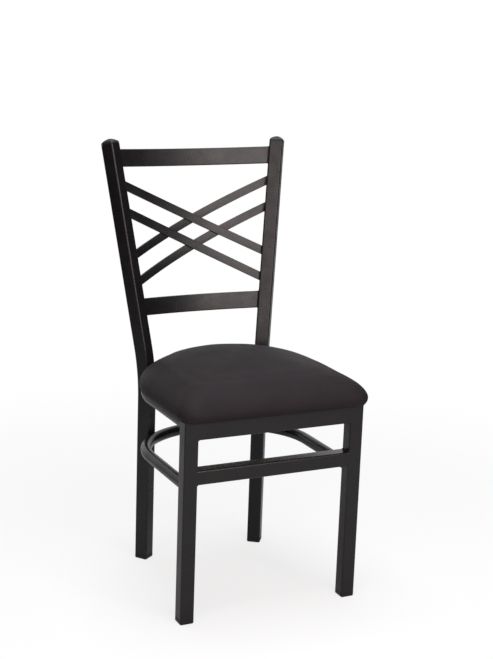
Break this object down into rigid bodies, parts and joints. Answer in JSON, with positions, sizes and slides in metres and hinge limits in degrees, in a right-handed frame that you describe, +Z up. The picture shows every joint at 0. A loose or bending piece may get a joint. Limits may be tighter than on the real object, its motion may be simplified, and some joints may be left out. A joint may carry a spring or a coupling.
{
  "type": "metal dining chair",
  "caption": "Dining chair with a welded square-tube steel frame, crossed flat bars in a bowed back, a padded seat and a round-tube stretcher hoop.",
  "frame": {"origin": "on the floor, at the middle of the chair's footprint box", "axes": "+Z up; the chair faces -Y, so the back is at +Y; +X is the viewer's right from the front, and left and right in names are the viewer's"},
  "size_m": [0.405, 0.461, 0.861],
  "materials": {
    "steel_frame": "black powder coat, fine texture, satin",
    "plastic_ends": "moulded black plastic",
    "seat_vinyl": "matte black upholstery vinyl with a fine grain",
    "seat_padding": "open-cell foam",
    "seat_plywood": "raw plywood",
    "screw_zinc": "zinc plate"
  },
  "bodies": {
    "root": {"front_leg_left": "steel_frame", "front_leg_right": "steel_frame", "rear_upright_left": "steel_frame", "rear_upright_right": "steel_frame", "front_apron_rail": "steel_frame", "front_stretcher": "steel_frame", "seat_frame_hoop": "steel_frame", "stretcher_hoop": "steel_frame", "top_back_rail": "steel_frame", "lower_back_rail": "steel_frame", "cross_bar_front_upper": "steel_frame", "cross_bar_front_lower": "steel_frame", "cross_bar_rear_upper": "steel_frame", "cross_bar_rear_lower": "steel_frame", "seat_tab_front_left": "steel_frame", "seat_tab_front_right": "steel_frame", "seat_tab_rear_left": "steel_frame", "seat_tab_rear_right": "steel_frame", "post_cap_left": "plastic_ends", "post_cap_right": "plastic_ends", "foot_glide_front_left": "plastic_ends", "foot_glide_front_right": "plastic_ends", "foot_glide_rear_left": "plastic_ends", "foot_glide_rear_right": "plastic_ends", "seat_cover": "seat_vinyl", "seat_foam": "seat_padding", "seat_board": "seat_plywood", "seat_screw_front_left": "screw_zinc", "seat_screw_front_right": "screw_zinc", "seat_screw_rear_left": "screw_zinc", "seat_screw_rear_right": "screw_zinc"}
  },
  "joints": []
}
